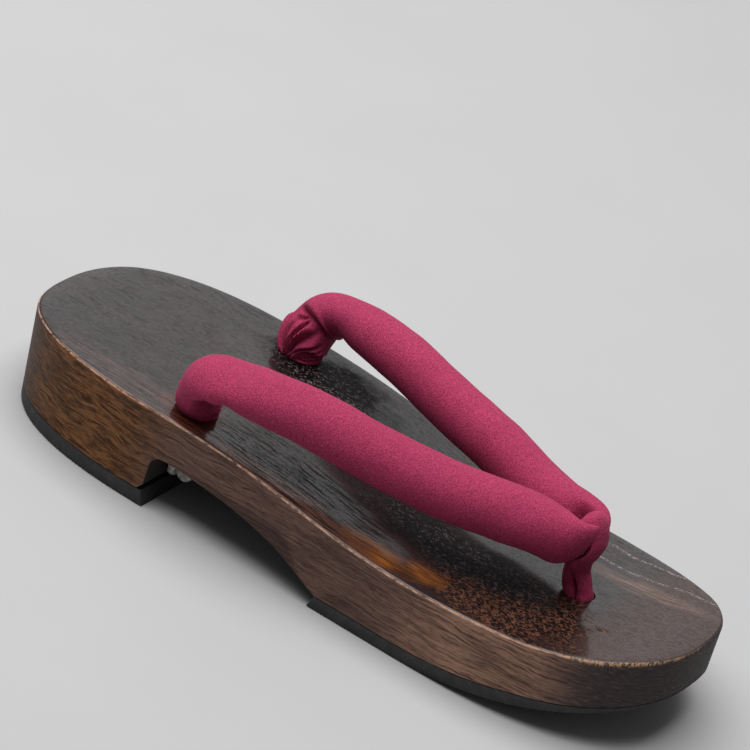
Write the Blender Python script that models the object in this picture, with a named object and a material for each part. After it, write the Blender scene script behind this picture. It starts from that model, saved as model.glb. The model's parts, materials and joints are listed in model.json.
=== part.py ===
"""A geta: one carved wooden base on two rubber pads, with a pair of padded cloth straps.

Metres, +Z up, the toe towards -Y and the heel towards +Y. The origin is on the floor under the
middle of the base. The outline is the same on both sides, so the shoe fits either foot.
"""
import math
from collections import namedtuple

import bmesh
import bpy
from mathutils import Vector

# Sizes of the wooden base
LENGTH = 0.245
WIDTH = 0.086
END_ROUND = 0.073
ROUND_POWER = 2.57
DECK_HEIGHT = 0.0325
WALL_FLARE = 0.0012
HEEL_LEAN = 0.0037
EDGE_EASE = 0.0012

# Sizes of the underside: the heel block, the arch and the forefoot
HEEL_LENGTH = 0.0687
HEEL_FILLET = 0.0045
FACE_DRAFT = 0.0003
FOREFOOT_LENGTH = 0.1082
FOREFOOT_FLAT = 0.0275
TOE_SPRING = 0.0175
ARCH_HEIGHT = 0.0185

# Sizes of the rubber pads
HEEL_RUBBER = 0.0050
FOREFOOT_RUBBER = 0.0043
TOE_RUBBER = 0.0007
TOE_TAPER = 0.040
PAD_SLANT = 0.0016
PAD_EASE = 0.0004

# Holes that the straps go down, and the recess that hides the front knot
FRONT_HOLE_Y = -0.0790
REAR_HOLE_X = 0.0295
REAR_HOLE_Y = 0.0480
HOLE_RADIUS = 0.0052
RECESS_RADIUS = 0.0075
RECESS_DEPTH = 0.0060

# Sizes of the straps, the toe loop and the knots
STRAP_WIDTH = 0.0192
STRAP_HEIGHT = 0.0176
STRAP_RISE = 0.0210
TAIL_RADIUS = 0.0048
SHOULDER_WIDTH = 0.0126
SHOULDER_LENGTH = 0.0148
SHOULDER_SET = 0.0014
SHOULDER_LIFT = 0.0012
LOOP_WIDTH = 0.0102
LOOP_THICKNESS = 0.0026
LEG_WIDTH = 0.0064
LEG_THICKNESS = 0.0040
KNOT_RADIUS = 0.0050
KNOT_DROP = 0.0110
STEM_RADIUS = 0.0020

# Clearance between touching pieces, and how finely curves are divided
GAP = 0.0003
SHARP_ANGLE = math.radians(35)
END_STEPS = 12
ARCH_STEPS = 14
FILLET_STEPS = 5
EASE_STEPS = 3
PAD_STEPS = 8
STATION_STEP = 0.009
LEAST_STEP = 0.0004
STRAP_SIDES = 20
STRAP_STEP = 0.0026
LOOP_SIDES = 12
LOOP_STEP = 0.0020
HOLE_SIDES = 32
KNOT_SIDES = 16

HALF_LENGTH = LENGTH / 2
HEEL_FRONT = HALF_LENGTH - HEEL_LENGTH
FOREFOOT_REAR = FOREFOOT_LENGTH - HALF_LENGTH

# Height of the deck's centre line: shares of HALF_LENGTH and DECK_HEIGHT, toe to heel
DeckRow = namedtuple("DeckRow", "along height")
DECK = [
    DeckRow(-1.000, 1.022),
    DeckRow(-0.816, 0.883),
    DeckRow(-0.653, 0.809),
    DeckRow(-0.490, 0.774),
    DeckRow(-0.327, 0.755),
    DeckRow(-0.163, 0.785),
    DeckRow(0.000, 0.865),
    DeckRow(0.163, 0.948),
    DeckRow(0.327, 0.991),
    DeckRow(0.490, 0.998),
    DeckRow(0.653, 1.002),
    DeckRow(0.816, 0.994),
    DeckRow(1.000, 0.962),
]

# Ceiling of the arch: shares of its length, forefoot to heel block, and of its rise above the seat
ArchRow = namedtuple("ArchRow", "along rise")
ARCH = [
    ArchRow(0.00, 0.00),
    ArchRow(0.10, 0.21),
    ArchRow(0.24, 0.51),
    ArchRow(0.38, 0.71),
    ArchRow(0.54, 0.86),
    ArchRow(0.70, 0.94),
    ArchRow(0.85, 1.00),
    ArchRow(1.00, 1.00),
]

# One strap, from where the pair joins to its tail in the rear hole.
# run: share of the way from the front hole to the rear one; out: share of REAR_HOLE_X;
# rise: height over the deck, in shares of STRAP_RISE; wide and tall: shares of the strap's section
StrapRow = namedtuple("StrapRow", "run out rise wide tall")
STRAP = [
    StrapRow(0.036, -0.169, 0.93, 0.46, 0.82),
    StrapRow(0.032, 0.000, 0.94, 0.40, 0.80),
    StrapRow(0.038, 0.169, 0.94, 0.48, 0.84),
    StrapRow(0.065, 0.278, 0.94, 0.68, 0.91),
    StrapRow(0.102, 0.319, 0.96, 0.86, 0.97),
    StrapRow(0.157, 0.339, 0.98, 1.00, 1.00),
    StrapRow(0.228, 0.414, 0.98, 1.01, 1.01),
    StrapRow(0.374, 0.590, 1.01, 1.01, 0.99),
    StrapRow(0.535, 0.756, 0.99, 1.00, 0.98),
    StrapRow(0.722, 0.959, 0.96, 1.00, 0.95),
    StrapRow(0.861, 1.136, 0.90, 1.01, 0.89),
    StrapRow(0.944, 1.193, 0.79, 1.05, 0.83),
    StrapRow(0.997, 1.159, 0.60, 1.00, 0.80),
    StrapRow(1.016, 1.071, 0.33, 0.81, 0.81),
]

# Toe loop in the plane of the shoe's middle, up in front of the join, over it and down behind it.
# forward and up: shares of the strap's height, from the join's centre;
# wide and thick: shares of the way from the band's section (0) to a leg's section (1)
LoopRow = namedtuple("LoopRow", "forward up wide thick")
LOOP = [
    LoopRow(0.16, -0.82, 1.00, 1.00),
    LoopRow(0.12, -0.64, 0.90, 0.95),
    LoopRow(0.17, -0.48, 0.60, 0.60),
    LoopRow(0.27, -0.30, 0.30, 0.10),
    LoopRow(0.32, -0.05, 0.15, 0.00),
    LoopRow(0.31, 0.20, 0.10, 0.00),
    LoopRow(0.20, 0.42, 0.00, 0.00),
    LoopRow(0.00, 0.50, 0.00, 0.00),
    LoopRow(-0.19, 0.42, 0.70, 0.00),
    LoopRow(-0.30, 0.20, 1.45, 0.00),
    LoopRow(-0.31, -0.05, 1.50, 0.00),
    LoopRow(-0.28, -0.30, 1.45, 0.10),
    LoopRow(-0.19, -0.48, 1.20, 0.60),
    LoopRow(-0.12, -0.64, 0.95, 0.95),
    LoopRow(-0.09, -0.82, 1.00, 1.00),
]

# Turned outline of a knot: shares of its radius and of its drop, from the bottom up
KnotRow = namedtuple("KnotRow", "out up")
KNOT = [
    KnotRow(0.00, 0.00),
    KnotRow(0.45, 0.03),
    KnotRow(0.80, 0.17),
    KnotRow(0.98, 0.36),
    KnotRow(0.90, 0.52),
    KnotRow(1.00, 0.66),
    KnotRow(0.84, 0.86),
    KnotRow(0.50, 1.00),
]


def smooth_row(rows, at):
    """Read a table between its rows along smooth curves; the first column is the position."""
    last = len(rows) - 1
    i = 0
    while i < last - 1 and at > rows[i + 1][0]:
        i += 1
    span = rows[i + 1][0] - rows[i][0]
    t = min(max((at - rows[i][0]) / span, 0.0), 1.0)
    values = []
    for column in range(1, len(rows[0])):
        here = rows[i][column]
        there = rows[i + 1][column]
        slopes = []
        for k in (i, i + 1):
            low = max(k - 1, 0)
            high = min(k + 1, last)
            rise = rows[high][column] - rows[low][column]
            slopes.append(rise / (rows[high][0] - rows[low][0]) * span)
        values.append((2 * t**3 - 3 * t**2 + 1) * here + (t**3 - 2 * t**2 + t) * slopes[0]
                      + (3 * t**2 - 2 * t**3) * there + (t**3 - t**2) * slopes[1])
    return values


def deck_z(y):
    """Height of the deck above the floor."""
    return DECK_HEIGHT * smooth_row(DECK, y / HALF_LENGTH)[0]


def tread_z(y):
    """Height of the forefoot's tread: flat, then rising towards the toe."""
    start = FOREFOOT_REAR - FOREFOOT_FLAT
    rise = max(start - y, 0.0) / (start + HALF_LENGTH)
    return TOE_SPRING * rise**2


def forefoot_rubber(y):
    """Thickness of the forefoot pad, which thins out towards the toe."""
    full = min(max((y + HALF_LENGTH) / TOE_TAPER, 0.0), 1.0)
    return TOE_RUBBER + (FOREFOOT_RUBBER - TOE_RUBBER) * full


def arch_stations():
    """Points (y, z) of the arch's ceiling and the heel block's front face, forefoot to heel."""
    seat = FOREFOOT_RUBBER + GAP
    end = HEEL_FRONT - FACE_DRAFT - HEEL_FILLET
    points = []
    for i in range(ARCH_STEPS):
        y = FOREFOOT_REAR + (end - FOREFOOT_REAR) * i / ARCH_STEPS
        share = (y - FOREFOOT_REAR) / (HEEL_FRONT - FOREFOOT_REAR)
        points.append((y, seat + (ARCH_HEIGHT - seat) * smooth_row(ARCH, share)[0]))
    for i in range(FILLET_STEPS + 1):
        angle = math.pi / 2 * i / FILLET_STEPS
        points.append((end + HEEL_FILLET * math.sin(angle),
                       ARCH_HEIGHT - HEEL_FILLET * (1 - math.cos(angle))))
    points.append((HEEL_FRONT, HEEL_RUBBER + GAP))
    return points


def end_share(y):
    """How far a point lies into a rounded end, 0 where the sides are straight, 1 at the tip."""
    return max(abs(y) - (HALF_LENGTH - END_ROUND), 0.0) / END_ROUND


def half_width(y):
    """Half the base's width: straight sides and superellipse ends."""
    share = min(end_share(y), 1.0)
    return WIDTH / 2 * (1 - share**ROUND_POWER) ** (1 / ROUND_POWER)


def outward(y):
    """Unit normal of the outline at +X, as (x, y)."""
    across = (half_width(y) / (WIDTH / 2)) ** (ROUND_POWER - 1) / (WIDTH / 2)
    along = end_share(y) ** (ROUND_POWER - 1) / END_ROUND
    size = math.hypot(across, along)
    return across / size, math.copysign(along / size, y)


def wall_point(side, y, z, inset=0.0):
    """A point on the wall of base or pads: side is 1 or -1, inset draws it in along its normal."""
    normal = outward(y)
    low = 1 - z / DECK_HEIGHT
    lean = HEEL_LEAN * low * (max(y, 0.0) / HALF_LENGTH) ** 2
    x = half_width(y) + (WALL_FLARE * low - inset) * normal[0]
    return Vector((side * x, y - inset * normal[1] - lean, z))


def end_stations(sign):
    """Stations round one end of the outline, closer together towards its tip."""
    stations = []
    for i in range(END_STEPS + 1):
        angle = math.pi / 2 * i / END_STEPS
        share = math.cos(angle) ** (2 / ROUND_POWER) if i < END_STEPS else 0.0
        stations.append(sign * (HALF_LENGTH - END_ROUND + END_ROUND * share))
    return stations


def add_stations(chosen, extra, least):
    """Add each extra station that is at least this far from those already chosen."""
    for y in extra:
        if all(abs(y - other) >= least for other in chosen):
            chosen.append(y)


def ring(stations, height, inset):
    """One closed loop of wall points: up one side, back down the other, one point at a tip."""
    right = [wall_point(1, y, height(y), inset) for y in stations]
    left = [wall_point(-1, y, height(y), inset) for y in stations]
    pairs = []
    points = []
    for i, point in enumerate(right):
        pairs.append([i, i])
        points.append(point)
    for i in reversed(range(len(stations))):
        if abs(stations[i]) < HALF_LENGTH:
            pairs[i][1] = len(points)
            points.append(left[i])
    return points, pairs


def slab(bm, layers):
    """Skin a stack of layers, each (stations, height function, inset), listed from the bottom."""
    rings = []
    pairs = []
    for stations, height, inset in layers:
        points, pairs = ring(stations, height, inset)
        rings.append([bm.verts.new(point) for point in points])
    count = len(rings[0])
    for lower, upper in zip(rings, rings[1:]):
        for i in range(count):
            j = (i + 1) % count
            bm.faces.new((lower[i], lower[j], upper[j], upper[i]))
    for loop, flip in ((rings[0], True), (rings[-1], False)):
        for (a, b), (c, d) in zip(pairs, pairs[1:]):
            corners = list(dict.fromkeys((loop[a], loop[c], loop[d], loop[b])))
            if flip:
                corners.reverse()
            bm.faces.new(corners)


def finish(name, bm, material):
    """Turn a bmesh into an object with its material, shaded smooth but for its sharp edges."""
    bmesh.ops.recalc_face_normals(bm, faces=bm.faces)
    mesh = bpy.data.meshes.new(name)
    bm.to_mesh(mesh)
    bm.free()
    mesh.shade_smooth()
    mesh.set_sharp_from_angle(angle=SHARP_ANGLE)
    mesh.materials.append(material)
    item = bpy.data.objects.new(name, mesh)
    bpy.context.collection.objects.link(item)
    return item


def make_material(name, colour, roughness):
    """A plain Principled material."""
    material = bpy.data.materials.new(name)
    material.use_nodes = True
    shader = material.node_tree.nodes["Principled BSDF"]
    shader.inputs["Base Color"].default_value = (*colour, 1.0)
    shader.inputs["Roughness"].default_value = roughness
    shader.inputs["Metallic"].default_value = 0.0
    material.diffuse_color = (*colour, 1.0)
    return material


def drill(target, name, x, y, radius, bottom, top):
    """Cut a round upright hole in an object."""
    bm = bmesh.new()
    bmesh.ops.create_cone(bm, cap_ends=True, segments=HOLE_SIDES, radius1=radius, radius2=radius,
                          depth=top - bottom)
    bmesh.ops.translate(bm, verts=bm.verts, vec=(x, y, (top + bottom) / 2))
    mesh = bpy.data.meshes.new(name)
    bm.to_mesh(mesh)
    bm.free()
    cutter = bpy.data.objects.new(name, mesh)
    cutter.hide_render = True
    cutter.display_type = "WIRE"
    bpy.context.collection.objects.link(cutter)
    cut = target.modifiers.new(name, "BOOLEAN")
    cut.operation = "DIFFERENCE"
    cut.solver = "EXACT"
    cut.object = cutter


def make_base(material):
    """The wooden base: heel block, arch and forefoot carved from one piece, with its three holes."""
    arch = arch_stations()
    stations = [y for y, z in arch] + [-HALF_LENGTH, HALF_LENGTH]
    add_stations(stations, end_stations(1) + end_stations(-1), LEAST_STEP)
    even = range(1, int(LENGTH / STATION_STEP))
    add_stations(stations, [i * STATION_STEP - HALF_LENGTH for i in even], STATION_STEP / 2)
    stations.sort()
    arch_height = dict(arch)

    def under(y):
        if y in arch_height:
            return arch_height[y]
        if y > HEEL_FRONT:
            return HEEL_RUBBER + GAP
        if y < FOREFOOT_REAR:
            return tread_z(y) + forefoot_rubber(y) + GAP
        below = max(row for row in arch if row[0] <= y)
        above = min(row for row in arch if row[0] > y)
        return below[1] + (above[1] - below[1]) * (y - below[0]) / (above[0] - below[0])

    layers = [(stations, under, 0.0)]
    for i in range(EASE_STEPS + 1):
        angle = math.pi / 2 * i / EASE_STEPS
        drop = EDGE_EASE * (1 - math.sin(angle))
        inset = EDGE_EASE * (1 - math.cos(angle))
        layers.append((stations, lambda y, drop=drop: deck_z(y) - drop, inset))
    bm = bmesh.new()
    slab(bm, layers)
    base = finish("wood_base", bm, material)
    above = DECK_HEIGHT * 2
    recess_top = recess_height()
    drill(base, "rear_hole_right_cutter", REAR_HOLE_X, REAR_HOLE_Y, HOLE_RADIUS, 0.0, above)
    drill(base, "rear_hole_left_cutter", -REAR_HOLE_X, REAR_HOLE_Y, HOLE_RADIUS, 0.0, above)
    drill(base, "front_hole_cutter", 0.0, FRONT_HOLE_Y, HOLE_RADIUS, 0.0, above)
    drill(base, "front_recess_cutter", 0.0, FRONT_HOLE_Y, RECESS_RADIUS, 0.0, recess_top)
    return base


def recess_height():
    """Top of the recess for the front knot."""
    return tread_z(FRONT_HOLE_Y) + forefoot_rubber(FRONT_HOLE_Y) + GAP + RECESS_DEPTH


def make_pad(name, stations, cut_shift, top, bottom, material):
    """A rubber pad under the base: stations end at its straight cut, which slants by cut_shift."""
    low = stations[:-1] + [stations[-1] + cut_shift]
    bm = bmesh.new()
    slab(bm, [
        (low, bottom, PAD_EASE),
        (low, lambda y: bottom(y) + min(PAD_EASE, (top(y) - bottom(y)) / 2), 0.0),
        (stations, top, 0.0),
    ])
    return finish(name, bm, material)


def make_pads(material):
    """The heel and forefoot pads, each with the base's own outline."""
    heel = [y for y in end_stations(1) if y > HEEL_FRONT + LEAST_STEP] + [HEEL_FRONT]
    heel_pad = make_pad("heel_rubber", heel, -PAD_SLANT,
                        lambda y: HEEL_RUBBER, lambda y: 0.0, material)
    toe = [y for y in end_stations(-1) if y < FOREFOOT_REAR - FOREFOOT_FLAT]
    start = toe[-1]
    for i in range(1, PAD_STEPS + 1):
        toe.append(start + (FOREFOOT_REAR - start) * i / PAD_STEPS)
    fore_pad = make_pad("forefoot_rubber", toe, PAD_SLANT,
                        lambda y: tread_z(y) + forefoot_rubber(y), tread_z, material)
    drill(fore_pad, "rubber_recess_cutter", 0.0, FRONT_HOLE_Y, RECESS_RADIUS,
          -FOREFOOT_RUBBER, recess_height())
    return heel_pad, fore_pad


def even_path(rows, step):
    """Read rows of numbers, the first three a place, at even steps along a smooth curve."""
    places = [Vector(row[:3]) for row in rows]
    table = [(0.0, *rows[0])]
    for i in range(1, len(rows)):
        reach = table[-1][0] + (places[i] - places[i - 1]).length
        table.append((reach, *rows[i]))
    total = table[-1][0]
    count = max(int(round(total / step)), 2)
    return [smooth_row(table, total * i / count) for i in range(count + 1)]


def sweep(bm, path, first_side, sides, upright=0):
    """Skin a closed tube along a path of (x, y, z, half width, half height), capped at both ends.

    The last upright rows run straight down.
    """
    places = [Vector(row[:3]) for row in path]
    side = Vector(first_side)
    loops = []
    for i, row in enumerate(path):
        ahead = places[min(i + 1, len(path) - 1)]
        behind = places[max(i - 1, 0)]
        along = (ahead - behind).normalized()
        if i >= len(path) - upright:
            along = Vector((0.0, 0.0, -1.0))
        side = (side - along * side.dot(along)).normalized()
        up = along.cross(side)
        loop = []
        for k in range(sides):
            angle = 2 * math.pi * k / sides
            out = side * (row[3] * math.cos(angle)) + up * (row[4] * math.sin(angle))
            loop.append(bm.verts.new(places[i] + out))
        loops.append(loop)
    for one, two in zip(loops, loops[1:]):
        for k in range(sides):
            j = (k + 1) % sides
            bm.faces.new((one[k], one[j], two[j], two[k]))
    bm.faces.new(list(reversed(loops[0])))
    bm.faces.new(loops[-1])


def strap_path():
    """Centre line and half sizes of one strap, from just past the join to its tail."""
    span = REAR_HOLE_Y - FRONT_HOLE_Y
    rows = []
    for row in STRAP:
        y = FRONT_HOLE_Y + span * row.run
        rows.append((REAR_HOLE_X * row.out, y, deck_z(y) + STRAP_RISE * row.rise,
                     STRAP_WIDTH / 2 * row.wide, STRAP_HEIGHT / 2 * row.tall))
    deck = deck_z(REAR_HOLE_Y)
    end = ARCH_HEIGHT + GAP + STEM_RADIUS
    hole = (REAR_HOLE_X, REAR_HOLE_Y)
    shoulder = (REAR_HOLE_X, REAR_HOLE_Y + SHOULDER_SET)
    half = (SHOULDER_WIDTH / 2, SHOULDER_LENGTH / 2)
    tail = [
        (*shoulder, deck + TAIL_RADIUS / 2, *half),
        (*shoulder, deck + SHOULDER_LIFT, *half),
        (*shoulder, deck + SHOULDER_LIFT / 2, half[0] - GAP, half[1] - GAP),
        (*hole, deck + GAP, TAIL_RADIUS, TAIL_RADIUS),
        (*hole, (deck + end) / 2, TAIL_RADIUS, TAIL_RADIUS),
        (*hole, end, TAIL_RADIUS, TAIL_RADIUS),
    ]
    return even_path(rows + tail[:1], STRAP_STEP)[:-1] + tail, len(tail)


def make_straps(material):
    """Both padded straps as one piece: one strap cut on the shoe's middle plane, and its mirror."""
    bm = bmesh.new()
    path, upright = strap_path()
    sweep(bm, path, (0.0, -1.0, 0.0), STRAP_SIDES, upright)
    straps = finish("hanao_straps", bm, material)
    mirror = straps.modifiers.new("other_strap", "MIRROR")
    mirror.use_axis = (True, False, False)
    mirror.use_bisect_axis = (True, False, False)
    mirror.bisect_threshold = 0.000001
    mirror.merge_threshold = 0.00001
    return straps


def make_loop(material):
    """The toe loop: a flat tube of cloth folded over the join, both legs down the front hole."""
    span = REAR_HOLE_Y - FRONT_HOLE_Y
    join_y = FRONT_HOLE_Y + span * STRAP[1].run
    join_z = deck_z(join_y) + STRAP_RISE * STRAP[1].rise
    spread = (LEG_THICKNESS + GAP) / 2
    end = recess_height() + GAP + STEM_RADIUS
    mouth = deck_z(FRONT_HOLE_Y)
    leg = (LEG_WIDTH / 2, LEG_THICKNESS / 2)
    heights = (end, (end + mouth) / 2, mouth)
    front = [(0.0, FRONT_HOLE_Y - spread, z, *leg) for z in heights]
    rear = [(0.0, FRONT_HOLE_Y + spread, z, *leg) for z in reversed(heights)]
    over = []
    for row in LOOP:
        wide = LOOP_WIDTH + (LEG_WIDTH - LOOP_WIDTH) * row.wide
        thick = LOOP_THICKNESS + (LEG_THICKNESS - LOOP_THICKNESS) * row.thick
        over.append((0.0, join_y - STRAP_HEIGHT * row.forward, join_z + STRAP_HEIGHT * row.up,
                     wide / 2, thick / 2))
    bm = bmesh.new()
    sweep(bm, even_path(front + over + rear, LOOP_STEP), (1.0, 0.0, 0.0), LOOP_SIDES)
    return finish("toe_loop", bm, material)


def make_knot(name, x, y, top, stem_top, drop, material):
    """A knot under a hole: a turned lump with a stem that reaches up into the hole."""
    outline = [(KNOT_RADIUS * row.out, top - drop * (1 - row.up)) for row in KNOT]
    outline += [(STEM_RADIUS, top), (STEM_RADIUS, stem_top), (0.0, stem_top)]
    bm = bmesh.new()
    loops = []
    for radius, z in outline:
        if radius == 0.0:
            loops.append([bm.verts.new((x, y, z))] * KNOT_SIDES)
            continue
        angles = [2 * math.pi * k / KNOT_SIDES for k in range(KNOT_SIDES)]
        loops.append([bm.verts.new((x + radius * math.cos(a), y + radius * math.sin(a), z))
                      for a in angles])
    for one, two in zip(loops, loops[1:]):
        for k in range(KNOT_SIDES):
            j = (k + 1) % KNOT_SIDES
            bm.faces.new(list(dict.fromkeys((one[k], one[j], two[j], two[k]))))
    return finish(name, bm, material)


def build():
    """Clear the scene and make the shoe."""
    for item in list(bpy.data.objects):
        bpy.data.objects.remove(item)
    wood = make_material("burned_wood", (0.055, 0.032, 0.024), 0.35)
    rubber = make_material("sole_rubber", (0.024, 0.024, 0.024), 0.75)
    cloth = make_material("crepe_cloth", (0.32, 0.035, 0.10), 0.85)
    cord = make_material("pale_cord", (0.42, 0.40, 0.36), 0.80)
    make_base(wood)
    make_pads(rubber)
    make_straps(cloth)
    make_loop(cloth)
    stem = ARCH_HEIGHT + STEM_RADIUS
    for side, sign in (("right", 1), ("left", -1)):
        make_knot("rear_knot_" + side, sign * REAR_HOLE_X, REAR_HOLE_Y, ARCH_HEIGHT - 2 * GAP,
                  stem, KNOT_DROP, cord)
    recess = recess_height()
    make_knot("front_knot", 0.0, FRONT_HOLE_Y, recess - 2 * GAP, recess + STEM_RADIUS,
              RECESS_DEPTH + FOREFOOT_RUBBER / 2, cord)


build()
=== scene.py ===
# %% [markdown]
# A wooden sandal with padded straps, dressed around its measured solids.
# The real shoe is carved from one block of light wood. The maker burns the block, brushes the
# soft wood out between the hard grain, and lacquers it. Two cloth tubes stuffed with wadding
# come up through the rear holes, meet behind a cloth loop at the toe, and are knotted below.
# Each cell makes one piece or one finish, and the cell before it says how and why.

# %% Load the measured solids
import json
import math
from types import SimpleNamespace

import bmesh
import bpy
from mathutils import Matrix, Vector, noise
from mathutils.bvhtree import BVHTree

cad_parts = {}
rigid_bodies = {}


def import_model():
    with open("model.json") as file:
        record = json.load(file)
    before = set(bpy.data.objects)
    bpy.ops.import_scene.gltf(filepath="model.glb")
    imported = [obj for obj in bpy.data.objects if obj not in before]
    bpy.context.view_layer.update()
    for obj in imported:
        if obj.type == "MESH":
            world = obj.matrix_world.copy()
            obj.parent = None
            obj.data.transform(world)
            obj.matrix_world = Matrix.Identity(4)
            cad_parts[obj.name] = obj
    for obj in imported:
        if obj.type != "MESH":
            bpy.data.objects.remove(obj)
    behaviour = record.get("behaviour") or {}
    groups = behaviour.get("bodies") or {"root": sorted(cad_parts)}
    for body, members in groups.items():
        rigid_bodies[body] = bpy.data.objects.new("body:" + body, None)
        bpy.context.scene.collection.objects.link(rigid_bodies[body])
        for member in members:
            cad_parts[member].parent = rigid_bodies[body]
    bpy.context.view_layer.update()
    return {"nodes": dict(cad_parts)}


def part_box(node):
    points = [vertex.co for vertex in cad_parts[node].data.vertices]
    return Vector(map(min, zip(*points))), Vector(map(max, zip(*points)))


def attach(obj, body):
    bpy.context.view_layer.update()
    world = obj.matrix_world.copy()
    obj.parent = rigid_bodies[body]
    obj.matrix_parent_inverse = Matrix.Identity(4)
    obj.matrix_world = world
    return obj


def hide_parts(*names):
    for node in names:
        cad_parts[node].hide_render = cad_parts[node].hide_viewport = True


for item in list(bpy.data.objects):
    bpy.data.objects.remove(item)
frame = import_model()
MM = 0.001
print("Solids:", sorted(frame["nodes"]))

# %% [markdown]
# The camera. It looks at the shoe from its left side, a little from the toe, and it is rolled.
# Left and right are those of a plan drawn with the heel at the top, so left is the -X side.
# The values come from matching the shoe's outline: two angles, a roll, a distance, and how far
# the aim is off the middle of a picture 750 pixels wide. A long lens keeps the sides parallel.

# %% Place the camera
PICTURE = 750
AZIMUTH = math.radians(-66.51)
ELEVATION = math.radians(30.54)
ROLL = math.radians(18.14)
DISTANCE = 1547.54 * MM
FOCAL_PIXELS = 4932.66
AIM_X = -27.32
AIM_Y = 165.15


def make_camera():
    """A camera whose picture matches the shoe's outline, with no lens shift."""
    level_part = math.cos(ELEVATION)
    back = Vector((math.sin(AZIMUTH) * level_part, -math.cos(AZIMUTH) * level_part,
                   math.sin(ELEVATION)))
    level = Vector((0, 0, 1)).cross(back).normalized()
    steep = back.cross(level)
    right = math.cos(ROLL) * level + math.sin(ROLL) * steep
    up = math.cos(ROLL) * steep - math.sin(ROLL) * level
    pan = math.atan2(AIM_X, FOCAL_PIXELS)
    tilt = math.atan2(AIM_Y, FOCAL_PIXELS)
    turned = math.cos(pan) * right - math.sin(pan) * back
    ahead = -math.cos(pan) * back - math.sin(pan) * right
    raised = math.cos(tilt) * up - math.sin(tilt) * ahead
    ahead = math.sin(tilt) * up + math.cos(tilt) * ahead
    data = bpy.data.cameras.new("product_camera")
    data.sensor_width = 36
    data.lens = FOCAL_PIXELS * data.sensor_width / PICTURE
    camera = bpy.data.objects.new("product_camera", data)
    camera.matrix_world = Matrix((turned, raised, -ahead)).transposed().to_4x4()
    camera.location = back * DISTANCE
    bpy.context.collection.objects.link(camera)
    bpy.context.scene.camera = camera
    return camera


camera = make_camera()
print("Lens in mm:", round(camera.data.lens, 1))

# %% [markdown]
# Light. A lacquered deck shows its own dark colour only where it mirrors something dark, so the
# light matters as much as the paint. A pale sky lights everything softly, a large panel overhead
# makes the tops of the straps bright, and a panel low behind the shoe lays a grey sheen on the
# deck. The straps hide that panel from parts of the deck, and there the burned wood shows.

# %% Set the light
SKY = (0.15, 0.15, 0.157)
TOP_PANEL = {"name": "top_panel", "place": (0.0, 0.30, 1.28), "size": 1.5, "power": 33}
SHEEN_PANEL = {"name": "sheen_panel", "place": (1.25, 0.55, 0.80), "size": 1.2, "power": 4.0}


def make_panel(name, place, size, power):
    """A square light that faces the shoe."""
    data = bpy.data.lights.new(name, "AREA")
    data.shape = "SQUARE"
    data.size = size
    data.energy = power
    panel = bpy.data.objects.new(name, data)
    panel.location = place
    panel.rotation_euler = (-Vector(place)).to_track_quat("-Z", "Y").to_euler()
    bpy.context.collection.objects.link(panel)
    return panel


world = bpy.data.worlds.new("pale_sky")
world.use_nodes = True
world.node_tree.nodes["Background"].inputs["Color"].default_value = (*SKY, 1)
bpy.context.scene.world = world
bpy.context.scene.view_settings.view_transform = "Standard"
for panel in (TOP_PANEL, SHEEN_PANEL):
    make_panel(**panel)

# %% [markdown]
# Shader maths as plain Python. Value wraps one socket, so that an expression such as
# 1 - mask * 0.5 adds the Math nodes for itself. Finish wraps a material: its node method makes
# any other node from its type, its settings and what goes into its sockets.

# %% A small language for finishes


class Value:
    """A number, colour or vector inside a material, which operators can work on as a number."""

    def __init__(self, finish, socket):
        self.finish = finish
        self.socket = socket

    def math(self, operation, *values):
        """A Math node on two values, or on one."""
        return self.finish.node("ShaderNodeMath", {"operation": operation}, dict(enumerate(values)))

    def __add__(self, other):
        return self.math("ADD", self, other)

    def __sub__(self, other):
        return self.math("SUBTRACT", self, other)

    def __rsub__(self, other):
        return self.math("SUBTRACT", other, self)

    def __mul__(self, other):
        return self.math("MULTIPLY", self, other)

    def __truediv__(self, other):
        return self.math("DIVIDE", self, other)

    def __pow__(self, other):
        return self.math("POWER", self, other)

    def __abs__(self):
        return self.math("ABSOLUTE", self)

    __radd__ = __add__
    __rmul__ = __mul__

    def above(self, low, high):
        """0 below low, 1 above high, smooth between; the other way round where low is larger."""
        return self.finish.node("ShaderNodeMapRange", {"interpolation_type": "SMOOTHSTEP"},
                                {"Value": self, "From Min": low, "From Max": high})

    def larger(self, other):
        """The larger of two values."""
        return self.math("MAXIMUM", self, other)


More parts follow.
